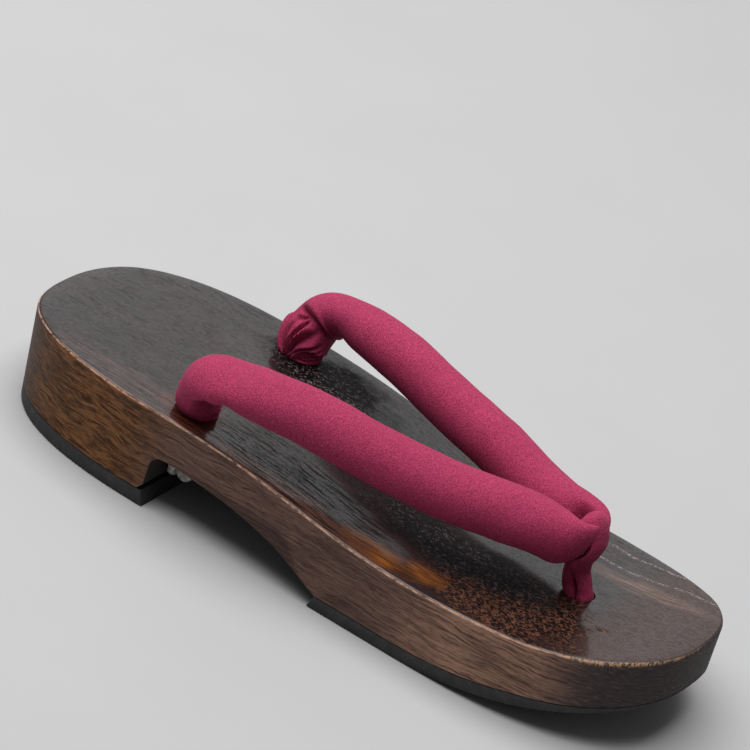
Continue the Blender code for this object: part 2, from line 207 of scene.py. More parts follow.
class Finish:
    """A material, with short ways to add nodes. Lengths in it are millimetres."""

    def __init__(self, name, **sockets):
        self.material = bpy.data.materials.new(name)
        self.material.use_nodes = True
        self.tree = self.material.node_tree
        self.shader = self.tree.nodes["Principled BSDF"]
        for socket, value in sockets.items():
            self.feed(self.shader, {socket.replace("_", " "): value})
        place = self.node("ShaderNodeTexCoord", output="Object")
        self.place = self.node("ShaderNodeVectorMath", {"operation": "SCALE"},
                               {0: place, "Scale": 1 / MM})
        self.x, self.y, self.z = self.split(self.place)

    def feed(self, node, sockets):
        """Set or link a node's sockets, named or numbered."""
        for key, value in sockets.items():
            socket = node.inputs[key]
            if isinstance(value, Value):
                self.tree.links.new(value.socket, socket)
            elif socket.type == "RGBA":
                socket.default_value = (*value, 1)
            else:
                socket.default_value = value

    def node(self, kind, settings=None, sockets=None, output=0):
        """Add a node: its settings first, then its sockets."""
        node = self.tree.nodes.new(kind)
        for key, value in (settings or {}).items():
            setattr(node, key, value)
        self.feed(node, sockets or {})
        return Value(self, node.outputs[output])

    def split(self, vector):
        """The three numbers of a vector."""
        node = self.tree.nodes.new("ShaderNodeSeparateXYZ")
        self.feed(node, {0: vector})
        return [Value(self, socket) for socket in node.outputs]

    def join(self, x, y, z):
        """A vector of three numbers."""
        return self.node("ShaderNodeCombineXYZ", {}, {0: x, 1: y, 2: z})

    def mix(self, share, first, second):
        """One colour where share is 0, the other where it is 1."""
        return self.node("ShaderNodeMix", {"data_type": "RGBA", "blend_type": "MIX"},
                         {0: share, 6: first, 7: second}, output=2)

    def layer(self, colour, coats):
        """Lay coats over a colour one by one; each coat is (share, colour)."""
        for share, coat in coats:
            colour = self.mix(share, colour, coat)
        return colour

    def noise(self, where, detail=2.0, rough=0.5, twist=0.0):
        """Soft noise from 0 to 1, one lump a unit."""
        return self.node("ShaderNodeTexNoise", {}, {"Vector": where, "Scale": 1.0, "Detail": detail,
                                                    "Roughness": rough, "Distortion": twist})

    def grain(self, across, along, upward, turn=(0, 0, 0)):
        """Coordinates in which a lump of noise is across by along by upward millimetres."""
        return self.node("ShaderNodeMapping", {"vector_type": "TEXTURE"}, {
            "Vector": self.place, "Rotation": [math.radians(a) for a in turn],
            "Scale": (across, along, upward)})

    def blob(self, centre, radii, soft=0.5, ragged=None):
        """1 inside an upright oval column at centre (x, y), 0 outside, soft and ragged edges."""
        x = (self.x - centre[0]) / radii[0]
        y = (self.y - centre[1]) / radii[1]
        reach = (x * x + y * y) ** 0.5
        if ragged is not None:
            reach = reach + ragged
        return reach.above(1 + soft, 1 - soft)

    def bump(self, height, depth, under=None):
        """Raise the surface by depth millimetres where height is 1."""
        sockets = {"Height": height, "Distance": depth * MM, "Strength": 1.0}
        if under is not None:
            sockets["Normal"] = under
        return self.node("ShaderNodeBump", {}, sockets)

    def paint(self, **sockets):
        """Feed the shader what varies over the surface."""
        self.feed(self.shader, {key.replace("_", " "): value for key, value in sockets.items()})


print("Ready to mix finishes")

# %% [markdown]
# Mesh helpers. A table holds a few given rows, and a smooth curve is read between its
# rows. Most pieces here are a loop of points carried along a path, so one function skins them.

# %% Mesh helpers
SHARP = math.radians(38)


def smooth_row(rows, at):
    """Read a table between its rows along smooth curves; the first column is the position."""
    last = len(rows) - 1
    i = 0
    while i < last - 1 and at > rows[i + 1][0]:
        i += 1
    span = rows[i + 1][0] - rows[i][0]
    t = min(max((at - rows[i][0]) / span, 0.0), 1.0)
    values = []
    for column in range(1, len(rows[0])):
        slopes = []
        for k in (i, i + 1):
            low = max(k - 1, 0)
            high = min(k + 1, last)
            rise = rows[high][column] - rows[low][column]
            slopes.append(rise / (rows[high][0] - rows[low][0]) * span)
        values.append((2 * t**3 - 3 * t**2 + 1) * rows[i][column]
                      + (t**3 - 2 * t**2 + t) * slopes[0]
                      + (3 * t**2 - 2 * t**3) * rows[i + 1][column]
                      + (t**3 - t**2) * slopes[1])
    return values


def even_path(rows, step):
    """Read rows of numbers, the first three a place, at even steps along a smooth curve."""
    table = [(0.0, *rows[0])]
    for before, row in zip(rows, rows[1:]):
        table.append((table[-1][0] + (Vector(row[:3]) - Vector(before[:3])).length, *row))
    count = max(round(table[-1][0] / step), 2)
    return [smooth_row(table, table[-1][0] * i / count) for i in range(count + 1)]


def bell(value, width):
    """1 at value 0, falling smoothly to almost nothing two widths away."""
    return math.exp(-(value / width) ** 2)


def step_up(value, low, high):
    """0 below low, 1 above high, smooth between."""
    t = min(max((value - low) / (high - low), 0.0), 1.0)
    return t * t * (3 - 2 * t)


def finish_piece(name, bm, finish, slot, *nodes):
    """Turn a bmesh in millimetres into a piece of the shoe that stands for CAD nodes."""
    bmesh.ops.scale(bm, verts=bm.verts, vec=(MM, MM, MM))
    bmesh.ops.recalc_face_normals(bm, faces=bm.faces)
    mesh = bpy.data.meshes.new(name)
    bm.to_mesh(mesh)
    bm.free()
    mesh.shade_smooth()
    mesh.set_sharp_from_angle(angle=SHARP)
    mesh.materials.append(finish.material)
    piece = bpy.data.objects.new(name, mesh)
    bpy.context.collection.objects.link(piece)
    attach(piece, "root")
    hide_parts(*nodes)
    print(name, "faces:", len(mesh.polygons))
    return piece


def skin(bm, loops, caps=True):
    """Join loops of places, all of the same length, into a tube."""
    rings = [[bm.verts.new(place) for place in loop] for loop in loops]
    count = len(rings[0])
    for one, two in zip(rings, rings[1:]):
        for k in range(count):
            j = (k + 1) % count
            bm.faces.new((one[k], one[j], two[j], two[k]))
    if caps:
        bm.faces.new(list(reversed(rings[0])))
        bm.faces.new(rings[-1])


print("Helpers are ready")

# %% [markdown]
# The base. Its outline is straight at the sides, with a superellipse at each end. The deck's
# height and the underside are read off the solid with rays, so that base and straps agree with
# it. The new mesh is far denser than the solid, which leaves room for an eased rim and for the
# slight waves that a plane and a wire brush leave.

# %% Measure the wooden solid
base_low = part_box("wood_base")[0] / MM
HALF_LENGTH = -base_low.y
HALF_WIDTH = 43.0
END_ROUND = 73.0
ROUND_POWER = 2.57
DECK_HEIGHT = 32.5
WALL_FLARE = 1.2
HEEL_LEAN = 3.7
CLEAR_X = 16.0
MISS = 500.0


def tree_of(node):
    """A search tree of a CAD node's faces, for rays."""
    mesh = frame["nodes"][node].data
    corners = [v.co / MM for v in mesh.vertices]
    return BVHTree.FromPolygons(corners, [list(p.vertices) for p in mesh.polygons])


def ray(tree, start, direction):
    """Where a ray first meets the solid."""
    place = tree.ray_cast(Vector(start), Vector(direction))[0]
    return place if place is not None else Vector((0, 0, 0))


wood = tree_of("wood_base")
INSIDE = HALF_LENGTH - 0.4
deck_rows = []
for i in range(29):
    y = -INSIDE + 2 * INSIDE * i / 28
    deck_rows.append((y, ray(wood, (CLEAR_X * (abs(y) < 110), y, MISS), (0, 0, -1)).z))
HEEL_FRONT = ray(wood, (CLEAR_X, 40, 9), (0, 1, 0)).y
FACE_DRAFT = 0.3


def deck_z(y):
    """Height of the deck."""
    return smooth_row(deck_rows, y)[0]


def under_z(y):
    """Height of the wood's underside; the heel leans, so its foot ends before its rim."""
    reach = min(max(y, -INSIDE), INSIDE - HEEL_LEAN)
    side = CLEAR_X * (abs(reach) < 110)
    return ray(wood, (side, reach, -MISS), (0, 0, 1)).z


print("Deck at heel, waist and ball, in mm:", [round(deck_z(y), 1) for y in (80, 0, -60)])
print("Heel block starts at", round(HEEL_FRONT, 1))

# %% [markdown]
# The outline's own functions. Half the width follows from how far a point lies into a rounded
# end, and the outward direction follows from the same formula. Stations are closer together
# towards the tips, where the outline turns fast.

# %% The outline


def end_share(y):
    """How far a point lies into a rounded end, 0 where the sides are straight, 1 at the tip."""
    return min(max(abs(y) - (HALF_LENGTH - END_ROUND), 0.0) / END_ROUND, 1.0)


def half_width(y):
    """Half the base's width."""
    return HALF_WIDTH * (1 - end_share(y)**ROUND_POWER) ** (1 / ROUND_POWER)


def outward(y):
    """Unit normal of the outline on the +X side, as (x, y)."""
    across = (half_width(y) / HALF_WIDTH) ** (ROUND_POWER - 1) / HALF_WIDTH
    along = end_share(y) ** (ROUND_POWER - 1) / END_ROUND
    size = math.hypot(across, along)
    return across / size, math.copysign(along / size, y)


def wall_point(side, y, z, inset=0.0):
    """A point on the wall: side is 1 or -1, inset draws it in along the outline's normal."""
    normal = outward(y)
    low = 1 - z / DECK_HEIGHT
    lean = HEEL_LEAN * low * (max(y, 0.0) / HALF_LENGTH) ** 2
    x = half_width(y) + (WALL_FLARE * low - inset) * normal[0]
    return Vector((side * x, y - inset * normal[1] - lean, z))


def tip_stations(sign, steps):
    """Stations round one end, closer together towards its tip."""
    stations = []
    for i in range(steps + 1):
        share = max(math.cos(math.pi / 2 * i / steps), 0.0) ** (2 / ROUND_POWER)
        stations.append(sign * (HALF_LENGTH - END_ROUND * (1 - share)))
    return stations


def spaced(places, least):
    """Sort stations and drop those closer than least to the one before."""
    kept = []
    for y in sorted(places):
        if not kept or y - kept[-1] >= least:
            kept.append(y)
    return kept


print("Half width at the ball, in mm:", round(half_width(-75), 1))

# %% [markdown]
# Skinning the base: rings run round the outline, from the foot of the wall over the eased rim,
# and then shrink over the deck towards its middle line. The underside is a ladder of strips,
# because the arch is the same all the way across. Three round holes are cut afterwards.

# %% Carve the base
TIP_STEPS = 34
SIDE_STEP = 2.4
WALL_ROWS = 12
FILLET = 4.5
FILLET_STEPS = 8
EASE = 1.1
EASE_STEPS = 4
DECK_RINGS = 22
SPINE = 62.0
WALL_WAVE = 0.10
RIM_WAVE = 0.07
FRONT_HOLE = (0.0, -79.0)
RIGHT_HOLE = (29.5, 48.0)
LEFT_HOLE = (-29.5, 48.0)
FRONT_HOLE_RADIUS = 4.9
REAR_HOLE_RADIUS = 5.2
RECESS_RADIUS = 7.5
RECESS_TOP = 16.0
DRILL_FROM = -20
DRILL_TO = 60


def base_stations():
    """Stations of the base, with a close pair where the heel block's face drops."""
    fillet = [HEEL_FRONT - FACE_DRAFT - FILLET + FILLET * math.sin(math.pi / 2 * i / FILLET_STEPS)
              for i in range(FILLET_STEPS + 1)]
    even = [-HALF_LENGTH + SIDE_STEP * i for i in range(1, int(2 * HALF_LENGTH / SIDE_STEP))]
    ends = tip_stations(1, TIP_STEPS) + tip_stations(-1, TIP_STEPS)
    clear = [y for y in even + ends if not fillet[0] - 0.5 < y < HEEL_FRONT + 0.5]
    return spaced(clear, 0.05) + fillet + [HEEL_FRONT + 0.02]


def waver(place, size, reach):
    """A slight hand-made wave at a place."""
    return reach * noise.noise(place / size)


def close_rim(stations, loop_of):
    """A closed loop: up the +X side from toe to heel and back down the -X side."""
    right = [loop_of(1, y) for y in stations]
    left = [loop_of(-1, y) for y in stations[1:-1]]
    return right + left[::-1]


def make_base(finish):
    """The wooden base as one closed mesh."""
    stations = sorted(set(base_stations()))
    bm = bmesh.new()
    loops = []
    for row in range(WALL_ROWS + 1):
        share = row / WALL_ROWS

        def wall(side, y):
            low = under_z(y)
            z = low + (deck_z(y) - EASE - low) * share
            wave = waver(Vector((side * 50, y, z)), 14, WALL_WAVE)
            return wall_point(side, y, z, wave * share)

        loops.append(close_rim(stations, wall))
    for step in range(1, EASE_STEPS + 1):
        angle = math.pi / 2 * step / EASE_STEPS
        worn = 1 - math.cos(angle)

        def rim(side, y):
            z = deck_z(y) - EASE * (1 - math.sin(angle))
            rough = waver(Vector((side * 40, y, z)), 5.0, RIM_WAVE) * math.sin(2 * angle)
            return wall_point(side, y, z, EASE * worn + rough)

        loops.append(close_rim(stations, rim))
    for step in range(1, DECK_RINGS + 1):
        shrink = 1 - step / DECK_RINGS

        def deck(side, y):
            edge = wall_point(side, y, deck_z(y), EASE)
            middle = min(max(y, -SPINE), SPINE)
            place = Vector((edge.x * shrink, middle + (edge.y - middle) * shrink, 0))
            fade = step_up(1 - shrink, 0.0, 0.1)
            place.z = deck_z(place.y) + waver(place, 11, WALL_WAVE) * fade
            return place

        loops.append(close_rim(stations, deck))
    skin(bm, loops, caps=False)
    bm.verts.ensure_lookup_table()
    last = len(loops[0])
    for i in range(len(stations) - 1):
        corners = [bm.verts[i], bm.verts[i + 1],
                   bm.verts[(last - i - 1) % last], bm.verts[-i % last]]
        bm.faces.new(list(dict.fromkeys(corners)))
    bmesh.ops.remove_doubles(bm, verts=bm.verts, dist=0.02)
    return finish_piece("burned_base", bm, finish, "wood", "wood_base")


def cut_round(piece, x, y, radius, low, high):
    """Drill an upright hole in a piece, in millimetres."""
    bm = bmesh.new()
    bmesh.ops.create_cone(bm, cap_ends=True, segments=40, radius1=radius * MM, radius2=radius * MM,
                          depth=(high - low) * MM)
    bmesh.ops.translate(bm, verts=bm.verts, vec=(x * MM, y * MM, (low + high) / 2 * MM))
    mesh = bpy.data.meshes.new("drill")
    bm.to_mesh(mesh)
    bm.free()
    drill = bpy.data.objects.new("drill", mesh)
    bpy.context.collection.objects.link(drill)
    cut = piece.modifiers.new("hole", "BOOLEAN")
    cut.solver = "EXACT"
    cut.object = drill
    bpy.context.view_layer.update()
    drilled = piece.evaluated_get(bpy.context.evaluated_depsgraph_get())
    done = bpy.data.meshes.new_from_object(drilled)
    piece.modifiers.clear()
    piece.data = done
    bpy.data.objects.remove(drill)
    done.set_sharp_from_angle(angle=SHARP)


burned_wood = Finish("burned_wood")
base = make_base(burned_wood)
cut_round(base, *FRONT_HOLE, FRONT_HOLE_RADIUS, DRILL_FROM, DRILL_TO)
for hole in (RIGHT_HOLE, LEFT_HOLE):
    cut_round(base, *hole, REAR_HOLE_RADIUS, DRILL_FROM, DRILL_TO)
cut_round(base, *FRONT_HOLE, RECESS_RADIUS, DRILL_FROM, RECESS_TOP)
print("Base with its holes, faces:", len(base.data.polygons))

# %% [markdown]
# The rubber pads follow the base's outline and end at a slanting straight cut. Fine ribs run
# across their undersides, cut up into the rubber, so the shoe still stands at the same height.

# %% Mould the pads
RIB_PITCH = 1.5
RIB_DEPTH = 0.22
PAD_STEP = 0.375
PAD_SLANT = 1.6
RAY_MARGIN = 0.3
TIP_MARGIN = 1.5
# Rows up the pad's edge: share of its thickness, and how far the row is drawn in
PAD_EDGE = [(0, 0.35), (0.15, 0), (0.5, 0.05), (0.9, 0), (1, 0.15)]


def make_pad(name, finish, node, stations, slant):
    """A rubber pad: its top and tread are read off the solid, its tread has ribs."""
    tree = tree_of(node)

    def height(y, start, up):
        end = min(stations[-1] - RAY_MARGIN, HALF_LENGTH - HEEL_LEAN - TIP_MARGIN)
        reach = min(max(y, stations[0] + RAY_MARGIN), end)
        across = min(CLEAR_X, half_width(reach) * 0.5)
        return ray(tree, (across, reach, start), (0, 0, up)).z

    tops = [height(y, MISS, -1) for y in stations]
    lows = [height(y, -MISS, 1) for y in stations]
    cut = stations[0] if slant < 0 else stations[-1]

    def place(s, i, share, inset):
        y = stations[i] + (slant * (1 - share) if stations[i] == cut else 0)
        thick = tops[i] - lows[i]
        rib = RIB_DEPTH * (0.5 - 0.5 * math.cos(2 * math.pi * stations[i] / RIB_PITCH))
        z = lows[i] + thick * share + min(rib, thick / 3) * (1 - share)
        return wall_point(s, y, z, inset)

    bm = bmesh.new()
    loops = []
    for share, inset in PAD_EDGE:
        right = [place(1, i, share, inset) for i in range(len(stations))]
        left = [place(-1, i, share, inset) for i in range(len(stations))]
        loops.append(right + left[::-1])
    skin(bm, loops, caps=False)
    bm.verts.ensure_lookup_table()
    count = len(loops[0])
    top = len(loops[0]) * (len(loops) - 1)
    for i in range(len(stations) - 1):
        for start in (0, top):
            corners = [start + i, start + i + 1, start + count - 2 - i, start + count - 1 - i]
            bm.faces.new([bm.verts[c] for c in corners])
    bmesh.ops.remove_doubles(bm, verts=bm.verts, dist=0.01)
    return finish_piece(name, bm, finish, "rubber", node)


sole_rubber = Finish("sole_rubber", Roughness=0.7)
fore_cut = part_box("forefoot_rubber")[1].y / MM - PAD_SLANT
fore = [-HALF_LENGTH + PAD_STEP * i for i in range(1, int((fore_cut + HALF_LENGTH) / PAD_STEP))]
fore = spaced([y for y in tip_stations(-1, TIP_STEPS) if y < -100] + fore, 0.05)
fore_pad = make_pad("forefoot_pad", sole_rubber, "forefoot_rubber", fore + [fore_cut], PAD_SLANT)
cut_round(fore_pad, *FRONT_HOLE, RECESS_RADIUS, DRILL_FROM, RECESS_TOP + 4)
heel = [HEEL_FRONT + PAD_STEP * i for i in range(1, int((HALF_LENGTH - HEEL_FRONT) / PAD_STEP))]
heel = spaced([y for y in tip_stations(1, TIP_STEPS) if y > 100] + heel, 0.05)
make_pad("heel_pad", sole_rubber, "heel_rubber", [HEEL_FRONT] + heel, -PAD_SLANT)

# %% [markdown]
# The straps are one padded tube in a V. It starts down the left rear hole, bends over, runs to
# the toe, turns round behind the loop and goes back to the right rear hole. The rows are read
# from the tail to the middle, and the two arms hang a little differently, as hand-tied straps do.
# Round each bend the cloth is pinched into a crease, and above each hole it gathers into a fan.

# %% Route of the straps
# Each row: x out from the middle, y, then height and half height of the left arm, the same two
# of the right arm, and the half width of both
ARM = [
    (33.6, 46.2, 45.6, 8.0, 45.4, 8.0, 9.1),
    (34.8, 42.6, 48.5, 6.5, 48.7, 7.2, 9.7),
    (34.6, 36.8, 50.6, 4.8, 50.4, 6.6, 9.5),
    (33.0, 29.5, 50.4, 6.5, 50.6, 7.8, 9.7),
    (28.3, 12.7, 49.4, 8.3, 50.9, 8.5, 9.6),
    (22.3, -11.0, 46.4, 8.7, 48.3, 8.8, 9.6),
    (17.4, -31.5, 45.0, 8.9, 46.7, 8.9, 9.7),
    (12.4, -50.0, 45.2, 9.1, 43.9, 8.9, 9.6),
    (10.2, -59.0, 45.8, 8.9, 43.4, 8.8, 9.5),
    (9.2, -66.0, 45.6, 8.9, 44.4, 8.0, 8.4),
    (7.9, -71.0, 44.8, 9.2, 44.8, 7.4, 6.7),
    (4.9, -74.3, 44.3, 8.8, 44.5, 7.2, 4.0),
]
MIDDLE = (0.0, -75.3, 44.3, 2.5, 8.0)
TAIL = [
    (29.5, 48.0, 24.0, 4.6, 4.6),
    (29.5, 48.2, 29.0, 4.8, 4.8),
    (29.9, 48.4, 32.6, 6.0, 6.9),
    (30.6, 48.9, 36.5, 7.4, 8.5),
    (31.8, 47.9, 40.6, 8.3, 8.6),
]
STRAP_STEP = 0.5
STRAP_SIDES = 112


def arm_rows(side):
    """Rows of one arm from its tail to the toe: x, y, z, half width, half height."""
    rows = [(side * x, y, z, wide, tall) for x, y, z, wide, tall in TAIL]
    for x, y, left, left_tall, right, right_tall, wide in ARM:
        place = (left, wide, left_tall) if side < 0 else (right, wide, right_tall)
        rows.append((side * x, y, *place))
    return rows


strap_rows = arm_rows(-1) + [MIDDLE] + arm_rows(1)[::-1]
strap_path = even_path(strap_rows, STRAP_STEP)
print("Strap stations:", len(strap_path), "rows chosen by hand:", len(ARM) + len(TAIL) + 1)

# %% [markdown]
# The folds are soft troughs and ridges in the strap's own measures: how far along it from the
# hole, and how far round it. Round is 0 at the outer side, a quarter on top, a half at the inner
# side and three quarters below. The fan's ridges start at one point above the hole and spread.
# Under each bend the cloth folds into a hollow, and the pull of the toe loop makes another one in
# the right arm's inner side. They are placed one by one, since each one can be seen in a real
# strap.

# %% Sew and stuff the straps
CREASE_ALONG = 13.1
CREASE_TILT = 2.0
CREASE_DEPTH = 2.7
PUFF = 0.25
FAN_START = (-1.6, 0.46)
# Gathers that spread from the fan's start: degrees from straight up towards the front, depth,
# and how broad each is
GATHERS = [(-54, 2.0, 0.9), (-30, 0.4, 0.8), (-12, 0.6, 0.8), (12, 1.4, 0.75), (32, 1.3, 1.5),
           (51, 1.0, 0.7), (60, 1.0, 0.7), (68, 0.9, 0.65), (75, 0.9, 0.65), (82, 0.7, 0.6)]
PINCH_ALONG = 12.6
PINCH_SLOPE = 0.74
PINCH_DEPTH = 1.5
SIDE_CREASE_AROUND = 0.90
SIDE_CREASE_ALONG = 19.8
SIDE_CREASE_TILT = 20.0
SIDE_CREASE_DEPTH = 2.2
# Hollows: how far along, how long, how deep, and from which share to which of facing their side
LEFT_HOLLOW = (11.5, 5.5, 6.2, 0.10, 0.75)
RIGHT_HOLLOW = (9.0, 4.0, 0.9, 0.30, 0.95)
TOE_TUCK = (7.8, 4.8, 4.3, 0.30, 0.90)
FOLDS_END = 40
TAIL_RUN = 9.3


def toward(around, side):
    """1 where the cloth faces a side of the strap, -1 at the opposite side."""
    return math.cos(2 * math.pi * (around - side))


def hollow(along, share, shape):
    """A soft hollow in the cloth, where share nears 1."""
    middle, length, depth, low, high = shape
    return -depth * bell(along - middle, length) * step_up(share, low, high)


def groove(offset, width, depth):
    """A trough with a soft ridge on each side."""
    return depth * (0.45 * bell(abs(offset) - 2.2 * width, 1.3 * width) - bell(offset, width))


def fold(along, around, girth):
    """How far the cloth stands out or in near a hole, in millimetres; along is from the deck."""
    below = toward(around, 0.75)
    reach = max(step_up(toward(around, 0.56), 0.0, 0.75), step_up(below, 0.20, 0.75))
    top = CREASE_ALONG + CREASE_TILT * below
    offset = along - top
    crease = 0.15 * bell(offset - 1.7, 1.2) - bell(offset, 0.7) - 0.4 * bell(offset + 2.0, 1.7)
    out = CREASE_DEPTH * reach * crease
    up = along - FAN_START[0]
    arc = (around - FAN_START[1]) * girth
    far = math.hypot(up, arc)
    fade = 1.2 * step_up(far, 0.2, 1.8) * (1 - step_up(far, 11.0, 17.0))
    fade *= 1 - step_up(along, top - 3.5, top - 0.5)
    if up > 0 and abs(arc) < 0.36 * girth:
        for degrees, depth, broad in GATHERS:
            angle = math.atan2(arc, up) - math.radians(degrees)
            if abs(angle) < 1.2:
                width = (0.30 + 0.035 * far) * broad
                out += groove(far * math.sin(angle), width, depth * fade)
    # A short pinch that runs into the crease
    arc = (around - 0.50) * girth
    offset = (along - PINCH_ALONG - PINCH_SLOPE * arc) / 1.25
    return out - PINCH_DEPTH * bell(offset, 0.7) * bell(arc + 2.1, 2.2)


def bend(along, around, left):
    """The hollow under each arm's bend, and the left arm's own crease on its outer side."""
    under = toward(around, 0.76)
    if not left:
        return hollow(along, under, RIGHT_HOLLOW)
    out = -1.4 * bell(along - 7.0, 6.5) * (1 - toward(around, 0.0) ** 2)
    out += hollow(along, under, LEFT_HOLLOW)
    # The crease slants over the cloth between its outer side and its underside
    turn = (around - SIDE_CREASE_AROUND + 0.5) % 1 - 0.5
    line = SIDE_CREASE_ALONG - SIDE_CREASE_TILT * turn
    out -= SIDE_CREASE_DEPTH * bell(along - line, 0.75) * bell(turn, 0.08)
    return out + 0.6 * bell(along - line - 2.2, 1.4) * bell(turn, 0.11)


def tuck(to_middle, around):
    """The hollow at the inner side of an arm where the toe loop pulls on it."""
    return hollow(to_middle, toward(around, 0.54), TOE_TUCK)


def make_straps(finish):
    """Both arms as one tube, with its creases, gathers and slight lumps of wadding."""
    places = [Vector(row[:3]) for row in strap_path]
    run = [0.0]
    for before, place in zip(places, places[1:]):
        run.append(run[-1] + (place - before).length)
    bm = bmesh.new()
    loops = []
    side = Vector((-1.0, 0.0, 0.0))
    for i, row in enumerate(strap_path):
        along_path = (places[min(i + 1, len(places) - 1)] - places[max(i - 1, 0)]).normalized()
        side = (side - along_path * side.dot(along_path)).normalized()
        up = side.cross(along_path)
        from_hole = min(run[i], run[-1] - run[i]) - TAIL_RUN
        girth = math.pi * (row[3] + row[4])
        loop = []
        for k in range(STRAP_SIDES):
            around = k / STRAP_SIDES
            angle = 2 * math.pi * around
            out = side * (row[3] * math.cos(angle)) + up * (row[4] * math.sin(angle))
            place = places[i] + out
            left = i < len(places) / 2
            lift = 0.0
            if from_hole < FOLDS_END:
                lift = fold(from_hole, around, girth) + bend(from_hole, around, left)
            elif not left:
                lift = tuck(run[i] - run[-1] / 2, around)
            lift += PUFF * noise.noise(place / 9.0) * step_up(from_hole, 0, 12)
            loop.append(place + out.normalized() * lift)
        loops.append(loop)
    skin(bm, loops)
    piece = finish_piece("padded_straps", bm, finish, "cloth", "hanao_straps")
    return piece


crepe = Finish("crepe_cloth")
make_straps(crepe)

# %% [markdown]
# The toe loop is a small padded band of the same cloth. It comes up out of the front hole,
# passes in front of the straps, over them and down behind, and both legs share the hole. It is
# pulled tight, so it is widest in front and squeezed thin behind, between the two rolls.

# %% Tie the toe loop
# Each row: y, z, half width in x, half thickness
LOOP = [
    (-81.0, 18.0, 3.4, 1.9),
    (-81.2, 22.6, 3.8, 2.1),
    (-81.0, 26.2, 3.5, 2.3),
    (-80.3, 28.4, 2.9, 2.1),
    (-79.0, 31.5, 2.9, 2.0),
    (-77.6, 34.0, 3.3, 2.2),
    (-77.0, 36.8, 5.8, 2.2),
    (-79.0, 40.4, 5.9, 1.6),
    (-79.7, 44.6, 5.2, 1.5),
    (-79.0, 48.8, 4.8, 1.5),
    (-77.8, 51.6, 4.6, 1.4),
    (-76.0, 53.1, 4.6, 1.3),
    (-74.1, 52.0, 4.8, 1.3),
    (-72.9, 49.4, 4.6, 1.3),
    (-72.0, 44.9, 3.2, 1.2),
    (-71.6, 40.5, 2.5, 1.4),
    (-72.1, 37.3, 2.9, 1.8),
    (-73.2, 34.3, 3.3, 2.1),
    (-73.9, 31.3, 3.4, 2.3),
    (-74.9, 28.4, 3.5, 2.3),
    (-76.5, 25.6, 3.7, 2.2),
    (-76.9, 22.0, 3.7, 2.1),
    (-77.0, 18.0, 3.2, 1.9),
]
LOOP_STEP = 0.5
LOOP_SIDES = 36
LOOP_PLUMP = 1.15
LOOP_FLAT = 0.9
LOOP_HUG = 1.6


def make_loop(finish):
    """The loop as a puffy band along its path in the shoe's middle plane."""
    path = even_path([(0.0, *row) for row in LOOP], LOOP_STEP)
    places = [Vector(row[:3]) for row in path]
    bm = bmesh.new()
    loops = []
    for i, row in enumerate(path):
        along = (places[min(i + 1, len(path) - 1)] - places[max(i - 1, 0)]).normalized()
        side = Vector((1.0, 0.0, 0.0))
        up = along.cross(side)
        loop = []
        for k in range(LOOP_SIDES):
            angle = 2 * math.pi * k / LOOP_SIDES
            wide = math.copysign(abs(math.cos(angle)) ** (1 / LOOP_PLUMP), math.cos(angle))
            thick = math.copysign(abs(math.sin(angle)) ** LOOP_FLAT, math.sin(angle))
            place = places[i] + side * row[3] * wide + up * row[4] * thick
            hug = LOOP_HUG * max(-up.z, bell(row[2] - 37.5, 4.0)) * wide ** 2
            loop.append(place + up * (hug + 0.12 * noise.noise(place / 2.2)))
        loops.append(loop)
    skin(bm, loops)
    piece = finish_piece("loop_band", bm, finish, "cloth", "toe_loop")
    return piece


make_loop(crepe)

# %% [markdown]
# Under each hole the end of the cord is tied in a plain overhand knot. Its centre line is a
# trefoil, the curve of such a knot when it is pulled round. A cord's tube runs along it.

# %% Tie the knots
KNOT_STEPS = 120
KNOT_SIDES = 14
CORD_RADIUS = 1.45
STEM_START = 0.45


def make_knot(name, node, finish, x, y):
    """A knot of cord in the space of its solid."""
    low, high = (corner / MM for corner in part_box(node))
    middle = (low + high) / 2
    reach = (high.x - low.x) / 2 - CORD_RADIUS
    tall = min((high.z - low.z) / 2 - CORD_RADIUS - 1.0, reach)
    places = []
    for i in range(KNOT_STEPS):
        t = 2 * math.pi * i / KNOT_STEPS
        places.append(Vector((x + reach * (math.sin(t) + 2 * math.sin(2 * t)) / 3,
                              y + reach * (math.cos(t) - 2 * math.cos(2 * t)) / 3,
                              middle.z - 1.0 - tall * math.sin(3 * t))))
    bm = bmesh.new()
    loops = []
    for i, place in enumerate(places):
        along = (places[(i + 1) % KNOT_STEPS] - places[i - 1]).normalized()
        side = along.cross(Vector((0, 0, 1))).normalized()
        up = side.cross(along)
        loop = []
        for k in range(KNOT_SIDES):
            angle = 2 * math.pi * k / KNOT_SIDES
            strand = 1 + 0.08 * math.cos(3 * angle + 24 * math.pi * i / KNOT_STEPS)
            out = side * math.cos(angle) + up * math.sin(angle)
            loop.append(place + out * CORD_RADIUS * strand)
        loops.append(loop)
    skin(bm, loops + loops[:1], caps=False)
    stem = []
    for height in (low.z + (high.z - low.z) * STEM_START, high.z):
        stem.append([Vector((x + CORD_RADIUS * math.cos(2 * math.pi * k / KNOT_SIDES),
                             y + CORD_RADIUS * math.sin(2 * math.pi * k / KNOT_SIDES), height))
                     for k in range(KNOT_SIDES)])
    skin(bm, stem)
    bmesh.ops.remove_doubles(bm, verts=bm.verts, dist=0.001)
    return finish_piece(name, bm, finish, "cord", node)


pale_cord = Finish("pale_cord", Roughness=0.8)
make_knot("cord_knot_left", "rear_knot_left", pale_cord, *LEFT_HOLE)
make_knot("cord_knot_right", "rear_knot_right", pale_cord, *RIGHT_HOLE)
make_knot("cord_knot_front", "front_knot", pale_cord, *FRONT_HOLE)
